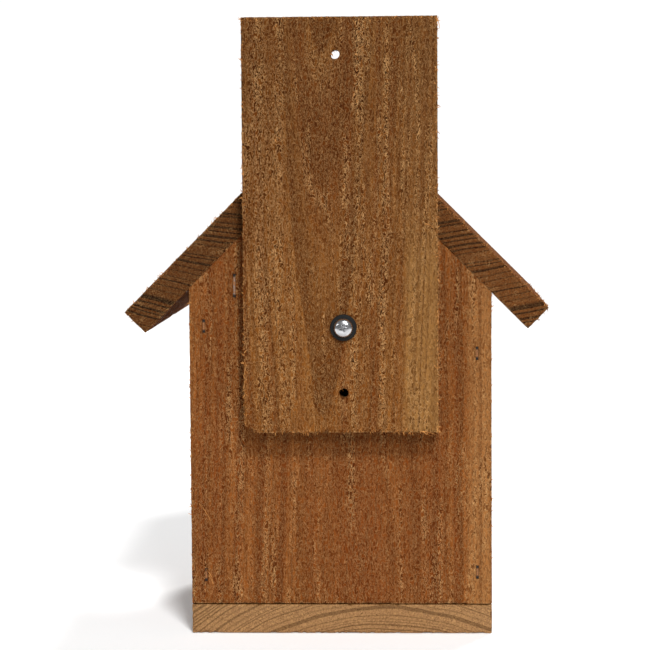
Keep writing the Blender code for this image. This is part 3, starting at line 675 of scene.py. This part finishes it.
# Long splinters: body, start and end in mm, half thickness and bow in mm
SPLINTERS = (
    ("house", (-65.6, -76.92, 60.0), (-58.6, -76.86, 46.2), 0.20, 1.1),
    ("house", (-63.0, -76.92, 29.5), (-59.9, -76.86, 20.0), 0.18, 1.4),
    ("house", (-61.5, -76.92, 26.5), (-59.4, -76.86, 18.5), 0.14, 0.6),
    ("swivel_board", (44.2, -90.3, 283.4), (46.3, -90.4, 278.2), 0.30, 0.7),
    ("swivel_board", (43.9, -90.1, 281.6), (46.0, -90.2, 284.2), 0.26, -0.5),
    ("swivel_board", (39.8, -90.6, 190.6), (43.8, -91.0, 188.2), 0.24, 0.5),
    ("swivel_board", (35.5, -90.2, 96.0), (44.6, -90.5, 94.4), 0.26, 0.6),
    ("swivel_board", (38.5, -90.3, 95.8), (43.0, -90.6, 93.8), 0.20, -0.4),
    ("swivel_board", (-3.3, -90.0, 268.9), (-0.8, -89.2, 268.3), 0.30, 0.3),
    ("swivel_board", (-3.3, -90.0, 267.6), (-1.7, -89.4, 266.2), 0.32, 0.3),
    ("swivel_board", (-3.0, -89.6, 269.4), (-1.9, -88.9, 267.0), 0.34, -0.3),
    ("swivel_board", (-1.6, -90.1, 269.8), (-0.2, -89.3, 268.6), 0.26, 0.2),
    ("swivel_board", (0.7, -89.8, 115.6), (1.9, -89.0, 114.4), 0.26, 0.2),
)


def splinters(body, wood):
    """The few long splinters of one body, each a bowed sliver laid from point to point."""
    made = []
    for owner, start, end, thick, bow in SPLINTERS:
        if owner != body:
            continue
        one = sliver()
        run = Vector(end) - Vector(start)
        turn = run.to_track_quat("Z", "X").to_matrix().to_4x4()
        fat = thick / 1000 / SLIVER_FOOT
        across = Matrix.Diagonal((fat, fat, run.length / 1000 / SLIVER_LONG, 1.0))
        for vertex in one.data.vertices:
            straight = vertex.co.x - SLIVER_BOW * (vertex.co.z / SLIVER_LONG) ** 2
            part = min(max((vertex.co.z + SLIVER_ROOT) / SLIVER_LONG, 0.0), 1.0)
            vertex.co.x = straight + bow / 1000 * 4 * part * (1 - part) / fat
        one.matrix_world = Matrix.Translation(Vector(start) / 1000) @ turn @ across
        settle(one)
        made.append(one)
    alone()
    for one in made:
        one.select_set(True)
    bpy.context.view_layer.objects.active = made[0]
    bpy.ops.object.join()
    joined = bpy.context.object
    joined.name = body + "_splinters"
    bpy.ops.object.mode_set(mode="EDIT")
    bpy.ops.mesh.select_all(action="SELECT")
    bpy.ops.mesh.normals_make_consistent(inside=False)
    bpy.ops.object.mode_set(mode="OBJECT")
    bpy.ops.object.shade_smooth()
    finish(joined, torn_fibre(wood))
    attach(joined, body)


def fringe(board, name, cut, half, wood):
    """The torn fibres that stand off a board's arrises and torn columns, as a mesh of their own."""
    one = sliver()
    take(board)
    bpy.ops.object.duplicate()
    made = bpy.context.object
    made.name = name + "_fibres"
    low, high = FRINGE[name]
    tree = bpy.data.node_groups.new("torn_fibres", "GeometryNodeTree")
    tree.interface.new_socket(name="Mesh", in_out="INPUT", socket_type="NodeSocketGeometry")
    tree.interface.new_socket(name="Mesh", in_out="OUTPUT", socket_type="NodeSocketGeometry")
    put = partial(add, tree)
    start = put("NodeGroupInput")
    spot = put("GeometryNodeInputPosition")
    mm = put("ShaderNodeVectorMath", {0: spot, "Scale": 1000.0}, operation="SCALE")
    grain = cedar_grain(put, mm, cut, half)
    above = put("ShaderNodeVectorMath", {0: mm, 1: low}, operation="SUBTRACT")
    below = put("ShaderNodeVectorMath", {0: high, 1: mm}, operation="SUBTRACT")
    inside = put("ShaderNodeVectorMath", {0: above, 1: below}, operation="MINIMUM")
    x, y, z = put("ShaderNodeSeparateXYZ", {0: inside}).outputs
    inside = put("ShaderNodeMath", {0: x, 1: y}, operation="MINIMUM")
    inside = put("ShaderNodeMath", {0: inside, 1: z}, operation="MINIMUM")
    inside = put("ShaderNodeMath", {0: inside, 1: 0.0}, operation="GREATER_THAN")
    edge = put("ShaderNodeMapRange", {0: grain["arris"], 1: 1.1, 2: 0.1, 3: 0.0, 4: 900000.0})
    body = put("ShaderNodeMapRange", {0: grain["torn"], 1: 0.6, 2: 1.0, 3: 0.0, 4: 130000.0})
    if name != "mounting_board":
        body = 0.0
    many = put("ShaderNodeMath", {0: edge, 1: body}, operation="MAXIMUM")
    many = put("ShaderNodeMath", {0: many, 1: inside}, operation="MULTIPLY")
    points = put(
        "GeometryNodeDistributePointsOnFaces", {"Mesh": start, "Density": many, "Seed": cut["seed"]}
    )
    along = (0, 0.8, 0) if name.startswith("roof") else (0, 0, 0.8)
    apart = [-value for value in along]
    way = put("FunctionNodeRandomValue", {0: apart, 1: along, "Seed": 1}, data_type="FLOAT_VECTOR")
    stray = put(
        "FunctionNodeRandomValue", {0: (-0.35, -0.35, -0.35), 1: (0.35, 0.35, 0.35), "Seed": 2},
        data_type="FLOAT_VECTOR",
    )
    lean = put(
        "ShaderNodeVectorMath", {0: points.outputs["Normal"], 1: (0.3, 0.3, 0.3), 2: way},
        operation="MULTIPLY_ADD",
    )
    lean = put("ShaderNodeVectorMath", {0: lean, 1: stray}, operation="ADD")
    turn = put("FunctionNodeAlignRotationToVector", {"Vector": lean}, axis="Z")
    grow = put("FunctionNodeRandomValue", {2: 0.45, 3: 1.1, "Seed": 3}, data_type="FLOAT")
    kind = put("GeometryNodeObjectInfo", {0: one})
    scattered = put(
        "GeometryNodeInstanceOnPoints",
        {"Points": points, "Instance": kind.outputs["Geometry"], "Rotation": turn, "Scale": grow},
    )
    real = put("GeometryNodeRealizeInstances", {0: scattered})
    put("NodeGroupOutput", {0: real})
    shape_with(made, "NODES", node_group=tree)
    bpy.data.node_groups.remove(tree)
    bpy.data.objects.remove(one)
    made.matrix_world = own_frame(name)
    settle(made)
    least = Vector(CAD_BOX[0])
    if name != "mounting_board":
        least.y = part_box(name)[0].y
    for vertex in made.data.vertices:
        for axis in range(3):
            vertex.co[axis] = min(max(vertex.co[axis], least[axis]), CAD_BOX[1][axis])
    bpy.ops.object.shade_smooth()
    finish(made, torn_fibre(wood))
    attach(made, BODY_OF[name])
    return made


def torn_fibre(wood):
    """Loose cedar fibres: thin, matt, paler and warmer than the face they were torn from."""
    made, put, shader = shader_tree("torn_cedar_fibre")
    place = put("ShaderNodeTexCoord").outputs["Object"]
    mm = put("ShaderNodeVectorMath", {0: place, 1: (600, 600, 350)}, operation="MULTIPLY")
    patch = put("ShaderNodeTexNoise", {"Vector": mm, "Scale": 1.0, "Detail": 2.0})
    patch = put("ShaderNodeMapRange", {0: patch, 1: 0.35, 2: 0.65})
    skin = put(
        "ShaderNodeMix", {0: patch, 6: wood.fibre_dark, 7: wood.fibre_light}, data_type="RGBA"
    )
    bump = put("ShaderNodeBump", {"Strength": 0.4, "Distance": 0.00005, "Height": patch})
    wire_up(
        shader, {"Base Color": skin, "Roughness": 0.95, "Normal": bump, "Specular IOR Level": 0.1}
    )
    return made


def sawn_board(name, wood, cell):
    """One board: a slab roughened as the saw leaves it, trimmed and bored to its solid."""
    out = own_frame(name)
    solid = solid_of(name, out.inverted())
    half = half_size(name)
    size = Vector(half) / 1000 - Vector([wood.skin] * 3)
    board = slab(name + "_rough", -size, size, cell)
    roughen(board, CUTS[name], half, wood)
    shape_with(board, "BOOLEAN", operation="INTERSECT", solver="EXACT", object=solid)
    bpy.data.objects.remove(solid)
    for facing in CLOSED.get(name, ()):
        close_joint(board, facing)
    if name in FRINGE:
        fringe(board, name, CUTS[name], half, wood)
    board.matrix_world = out
    settle(board)
    bpy.ops.object.shade_smooth_by_angle(angle=math.radians(50))
    finish(board, rough_cedar(name, wood))
    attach(board, BODY_OF[name])
    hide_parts(name)
    return board


def spun(name, outline, middle, steps=48):
    """Turns an outline of (radius, depth) points, in metres, about an axis along Y."""
    alone()
    bpy.ops.mesh.primitive_plane_add(size=0.001)
    made = bpy.context.object
    made.name = name
    bpy.ops.object.mode_set(mode="EDIT")
    bpy.ops.mesh.select_all(action="SELECT")
    bpy.ops.mesh.delete(type="VERT")
    shape = bmesh.from_edit_mesh(made.data)
    line = [shape.verts.new((radius, depth, 0)) for radius, depth in outline]
    for one, two in zip(line, line[1:]):
        shape.edges.new((one, two))
    bmesh.update_edit_mesh(made.data)
    bpy.ops.mesh.select_all(action="SELECT")
    bpy.ops.mesh.spin(steps=steps, angle=math.tau, center=(0, 0, 0), axis=(0, 1, 0))
    bpy.ops.mesh.select_all(action="SELECT")
    bpy.ops.mesh.remove_doubles(threshold=1e-6)
    bpy.ops.mesh.normals_make_consistent(inside=False)
    bpy.ops.object.mode_set(mode="OBJECT")
    made.matrix_world = Matrix.Translation(middle)
    settle(made)
    return made


def screw_piece(material):
    """A domed head with a cross recess, a plain neck and a pointed, threaded shank."""
    low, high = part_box("mounting_screw")
    axis = Vector(((low.x + high.x) / 2, 0, (low.z + high.z) / 2))
    wide = (high.x - low.x) / 2
    face = low.y
    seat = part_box("rubber_washer")[0].y
    tall = seat - face
    shank = SCREW_SHANK / 2
    outline = [(0.0, face)]
    for step in range(1, 15):
        part = math.sin(math.radians(90 * step / 14))
        crown = 0.1 * part**2 + 0.68 * (1 - math.sqrt(1 - part**4))
        outline.append((wide * part, face + tall * crown))
    outline += [(wide, seat - 0.0002), (wide - 0.0002, seat), (shank, seat)]
    turns = seat + 0.0030
    while turns < high.y - 0.0042:
        outline += [(shank * 0.78, turns), (shank * 0.78, turns + 0.0007), (shank, turns + 0.0010)]
        turns += 0.0013
    outline += [(shank * 0.78, turns), (shank * 0.4, high.y - 0.0012), (0.0, high.y)]
    head = spun("screw_turned", outline, axis)
    for turn in (20, 110):
        alone()
        spot = Vector((axis.x, face + 0.0003, axis.z))
        bpy.ops.mesh.primitive_cube_add(size=1.0, location=spot, scale=(0.0052, 0.0030, 0.0010))
        cross = bpy.context.object
        settle(cross)
        bpy.ops.object.mode_set(mode="EDIT")
        bpy.ops.mesh.select_mode(type="FACE")
        shape = bmesh.from_edit_mesh(cross.data)
        for part in shape.faces:
            part.select = part.normal.y > 0.9
        bmesh.update_edit_mesh(cross.data)
        bpy.ops.transform.resize(value=(0.3, 1.0, 0.6), center_override=spot)
        bpy.ops.mesh.select_all(action="SELECT")
        bpy.ops.transform.rotate(value=math.radians(turn), orient_axis="Y", center_override=spot)
        bpy.ops.object.mode_set(mode="OBJECT")
        shape_with(head, "BOOLEAN", operation="DIFFERENCE", solver="EXACT", object=cross)
        bpy.data.objects.remove(cross)
    shape_with(
        head, "BEVEL", width=0.00008, segments=2, limit_method="ANGLE", angle_limit=math.radians(40)
    )
    take(head)
    bpy.ops.object.shade_smooth_by_angle(angle=math.radians(50))
    finish(head, material)
    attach(head, BODY_OF["mounting_screw"])
    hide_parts("mounting_screw")


def washer_piece(material):
    """A punched ring squeezed until its edge bulges."""
    low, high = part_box("rubber_washer")
    axis = Vector(((low.x + high.x) / 2, 0, (low.z + high.z) / 2))
    wide = (high.x - low.x) / 2
    bore = SCREW_SHANK / 2 + 0.0001
    thick = high.y - low.y
    outline = [(bore, low.y), (wide - 0.0006, low.y)]
    for step in range(1, 8):
        angle = math.radians(180 * step / 8)
        bulge = 0.0006 * math.sin(angle)
        outline.append((wide - 0.0006 + bulge, low.y + thick * (1 - math.cos(angle)) / 2))
    outline += [(wide - 0.0006, high.y), (bore, high.y), (bore, low.y)]
    ring = spun("washer_ring", outline, axis)
    bpy.ops.object.shade_smooth_by_angle(angle=math.radians(50))
    finish(ring, material)
    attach(ring, BODY_OF["rubber_washer"])
    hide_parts("rubber_washer")


def dress(node, material):
    """Gives a CAD solid its finish."""
    thing = NODES[node]
    finish(thing, material)


def colour_value(name, description, code):
    """A colour that the sidebar shows, from its sRGB hex value."""
    return bpy.props.FloatVectorProperty(
        name=name, description=description, subtype="COLOR", size=4, min=0, max=1, default=tone(code)
    )


class WoodSettings(bpy.types.PropertyGroup):
    """The cedar's colours and how rough it is."""

    fine_cell: bpy.props.FloatProperty(
        name="Fine Cell", description="Mesh cell on the rear boards", default=0.00075, unit="LENGTH"
    )
    plain_cell: bpy.props.FloatProperty(
        name="Plain Cell", description="Mesh cell on the other boards", default=0.0012, unit="LENGTH"
    )
    skin: bpy.props.FloatProperty(
        name="Skin", description="How far the sawn face lies inside the solid",
        default=0.00002, unit="LENGTH",
    )
    relief: bpy.props.FloatProperty(
        name="Relief", description="Depth of the tear-out", default=0.0011, unit="LENGTH"
    )
    fray: bpy.props.FloatProperty(
        name="Fray", description="Wood broken from the arrises", default=0.0017, unit="LENGTH"
    )
    nap: bpy.props.FloatProperty(
        name="Nap", description="Depth of relief finer than the mesh", default=0.0006, unit="LENGTH"
    )
    heart: colour_value("Heartwood", "Plain heartwood", "#96663a")
    pale: colour_value("Pale Heartwood", "Lighter patches of heartwood", "#aa7a4b")
    red: colour_value("Red Band", "Bands of redder years", "#864f26")
    late: colour_value("Latewood", "The dark line that ends a year", "#6b3f1a")
    sap: colour_value("Sapwood", "Pale wood from under the bark", "#b3916a")
    end: colour_value("End Grain", "Wood cut square across", "#a8805a")
    # The torn fibres' own colour, also laid along the arrises as a painted highlight
    fuzz_and_arris_highlight: colour_value("Fuzz", "Torn fibres standing off the face", "#c49762")
    valley: colour_value("Valley", "Shade between tufts", "#7a5a40")
    fibre_dark: colour_value("Dark Fibre", "Torn fibres in heartwood", "#8a5426")
    fibre_light: colour_value("Light Fibre", "The palest torn fibres", "#cf9253")
    year: colour_value("End Ring", "A year's dark line where the end shows", "#3a1f0c")
    # Painted shade laid deep in torn pits
    pit: colour_value("Pit", "Deep in a torn pit", "#2a1405")


class MetalSettings(bpy.types.PropertyGroup):
    """Hardware colours."""

    plate: bpy.props.StringProperty(name="Plate", description="Bright zinc, sRGB hex", default="#c9c9cb")
    wire: bpy.props.StringProperty(name="Wire", description="Staple wire, sRGB hex", default="#4a443e")


class StudioSettings(bpy.types.PropertyGroup):
    """Camera and light."""

    lens: bpy.props.FloatProperty(name="Lens", description="Focal length, mm", default=127.4)
    key: bpy.props.FloatProperty(name="Key", description="Strength of the high light", default=2.4)
    front: bpy.props.FloatProperty(name="Front", description="Strength of the lower light", default=1.0)
    fill: bpy.props.FloatProperty(name="Fill", description="Strength of the left light", default=0.3)
    room: bpy.props.FloatProperty(name="Room", description="Strength of the room's light", default=0.2)


class BIRDHOUSE_OT_mounting_board(bpy.types.Operator):
    """Make the mounting board behind the house"""

    bl_idname = "birdhouse.mounting_board"
    bl_label = "Mounting Board"

    def execute(self, context):
        wood = context.scene.birdhouse_wood
        sawn_board("mounting_board", wood, wood.fine_cell)
        splinters("swivel_board", wood)
        return {"FINISHED"}


class BIRDHOUSE_OT_walls(bpy.types.Operator):
    """Make the back wall and the two side walls"""

    bl_idname = "birdhouse.walls"
    bl_label = "Walls"

    def execute(self, context):
        wood = context.scene.birdhouse_wood
        sawn_board("back_wall", wood, wood.fine_cell * 1.2)
        splinters("house", wood)
        sawn_board("side_wall_left", wood, wood.plain_cell)
        sawn_board("side_wall_right", wood, wood.plain_cell)
        return {"FINISHED"}


class BIRDHOUSE_OT_front_door(bpy.types.Operator):
    """Make the swing-out front"""

    bl_idname = "birdhouse.front_door"
    bl_label = "Front Door"

    def execute(self, context):
        wood = context.scene.birdhouse_wood
        sawn_board("front_door", wood, wood.plain_cell)
        return {"FINISHED"}


class BIRDHOUSE_OT_roof(bpy.types.Operator):
    """Make the two roof boards"""

    bl_idname = "birdhouse.roof"
    bl_label = "Roof Boards"

    def execute(self, context):
        wood = context.scene.birdhouse_wood
        sawn_board("roof_panel_left", wood, wood.plain_cell)
        sawn_board("roof_panel_right", wood, wood.plain_cell)
        return {"FINISHED"}


class BIRDHOUSE_OT_floor(bpy.types.Operator):
    """Make the floor board"""

    bl_idname = "birdhouse.floor_board"
    bl_label = "Floor Board"

    def execute(self, context):
        wood = context.scene.birdhouse_wood
        sawn_board("floor_board", wood, wood.plain_cell)
        return {"FINISHED"}


class BIRDHOUSE_OT_hardware(bpy.types.Operator):
    """Finish the screw, washer, nails, turn button and staples"""

    bl_idname = "birdhouse.hardware"
    bl_label = "Hardware"

    def execute(self, context):
        metal = context.scene.birdhouse_metal
        plate = zinc_plate("bright_zinc_plate", metal.plate, 0.14, 0.35)
        wire = zinc_plate("dull_staple_wire", metal.wire, 0.42, 0.3)
        rubber = black_rubber()
        for node in NODES:
            if node.startswith("back_staple"):
                dress(node, dusted_wire_shaded_ends(node, "#6b4527"))
            elif node == "label_staple":
                dress(node, dusted_wire_shaded_ends(node, "#7b7068"))
            elif "staple" in node:
                dress(node, wire)
            elif node not in CUTS and node not in ("rubber_washer", "mounting_screw"):
                dress(node, plate)
        screw_piece(plate)
        washer_piece(rubber)
        return {"FINISHED"}


class BIRDHOUSE_OT_studio(bpy.types.Operator):
    """Make the pale floor disc, the lights and the camera"""

    bl_idname = "birdhouse.studio"
    bl_label = "Studio"

    def execute(self, context):
        studio = context.scene.birdhouse_studio
        scene = context.scene
        alone()
        bpy.ops.mesh.primitive_circle_add(
            vertices=96, radius=1.35, fill_type="NGON", location=(0, 0.5, -0.0002)
        )
        ground = context.object
        ground.name = "studio_floor"
        made, put, shader = shader_tree("pale_floor_paint")
        wire_up(
            shader,
            {
                "Base Color": tone("#f6f6f6"), "Roughness": 0.9, "Specular IOR Level": 0.1,
                "Emission Color": tone("#ffffff"), "Emission Strength": 0.18,
            },
        )
        ground.data.materials.append(made)
        settle(ground)

        world = bpy.data.worlds.new("studio_air")
        scene.world = world
        world.use_nodes = True
        world.node_tree.nodes.clear()
        put = partial(add, world.node_tree)
        seen = put("ShaderNodeBackground", {"Color": (1, 1, 1, 1), "Strength": 1.05})
        room = put("ShaderNodeBackground", {"Color": (1, 1, 1, 1), "Strength": studio.room})
        path = put("ShaderNodeLightPath")
        air = put("ShaderNodeMixShader", {0: path.outputs["Is Camera Ray"], 1: room, 2: seen})
        put("ShaderNodeOutputWorld", {"Surface": air})

        for name, strength, turn, height in (
            ("key", studio.key, 15, 43),
            ("front", studio.front, 15, 24),
            ("left", studio.fill, -50, 20),
            ("far_side", studio.key * 0.8, 160, 50),
        ):
            alone()
            bpy.ops.object.light_add(type="SUN", location=(0, 0, 1))
            lamp = context.object
            lamp.name = "light_" + name
            lamp.data.energy = strength
            lamp.data.angle = math.radians(11)
            turn = math.radians(turn)
            height = math.radians(height)
            towards = Vector((math.sin(turn), -math.cos(turn), math.tan(height)))
            lamp.rotation_euler = towards.to_track_quat("Z", "Y").to_euler()

        alone()
        bpy.ops.object.camera_add(location=(0.0387, -1.1342, 0.2215))
        camera = context.object
        camera.name = "camera"
        camera.data.lens = studio.lens
        camera.data.sensor_width = 36.0
        camera.data.clip_start = 0.05
        aim = Vector((-0.0069, -0.0768, 0.1439))
        look = (aim - camera.location).to_track_quat("-Z", "Y").to_matrix().to_4x4()
        camera.rotation_euler = (look @ Matrix.Rotation(math.radians(-0.39), 4, "Z")).to_euler()
        scene.camera = camera
        scene.view_settings.view_transform = "Standard"
        return {"FINISHED"}


class BIRDHOUSE_PT_panel(bpy.types.Panel):
    """The birdhouse's pieces"""

    bl_idname = "BIRDHOUSE_PT_panel"
    bl_label = "Cedar Birdhouse"
    bl_space_type = "VIEW_3D"
    bl_region_type = "UI"
    bl_category = "Birdhouse"

    def draw(self, context):
        layout = self.layout
        for group in ("birdhouse_wood", "birdhouse_metal", "birdhouse_studio"):
            values = getattr(context.scene, group)
            for key in values.bl_rna.properties.keys():
                if key not in ("rna_type", "name"):
                    layout.prop(values, key)
        for kind in PIECES:
            layout.operator(kind.bl_idname)


PIECES = (
    BIRDHOUSE_OT_mounting_board,
    BIRDHOUSE_OT_walls,
    BIRDHOUSE_OT_front_door,
    BIRDHOUSE_OT_roof,
    BIRDHOUSE_OT_floor,
    BIRDHOUSE_OT_hardware,
    BIRDHOUSE_OT_studio,
)
CLASSES = (WoodSettings, MetalSettings, StudioSettings) + PIECES + (BIRDHOUSE_PT_panel,)


def register():
    for kind in CLASSES:
        bpy.utils.register_class(kind)
    bpy.types.Scene.birdhouse_wood = bpy.props.PointerProperty(type=WoodSettings)
    bpy.types.Scene.birdhouse_metal = bpy.props.PointerProperty(type=MetalSettings)
    bpy.types.Scene.birdhouse_studio = bpy.props.PointerProperty(type=StudioSettings)


def unregister():
    del bpy.types.Scene.birdhouse_wood
    del bpy.types.Scene.birdhouse_metal
    del bpy.types.Scene.birdhouse_studio
    for kind in reversed(CLASSES):
        bpy.utils.unregister_class(kind)


def main():
    register()
    bpy.ops.birdhouse.mounting_board()
    bpy.ops.birdhouse.walls()
    bpy.ops.birdhouse.front_door()
    bpy.ops.birdhouse.roof()
    bpy.ops.birdhouse.floor_board()
    bpy.ops.birdhouse.hardware()
    bpy.ops.birdhouse.studio()


if __name__ == "__main__":
    main()
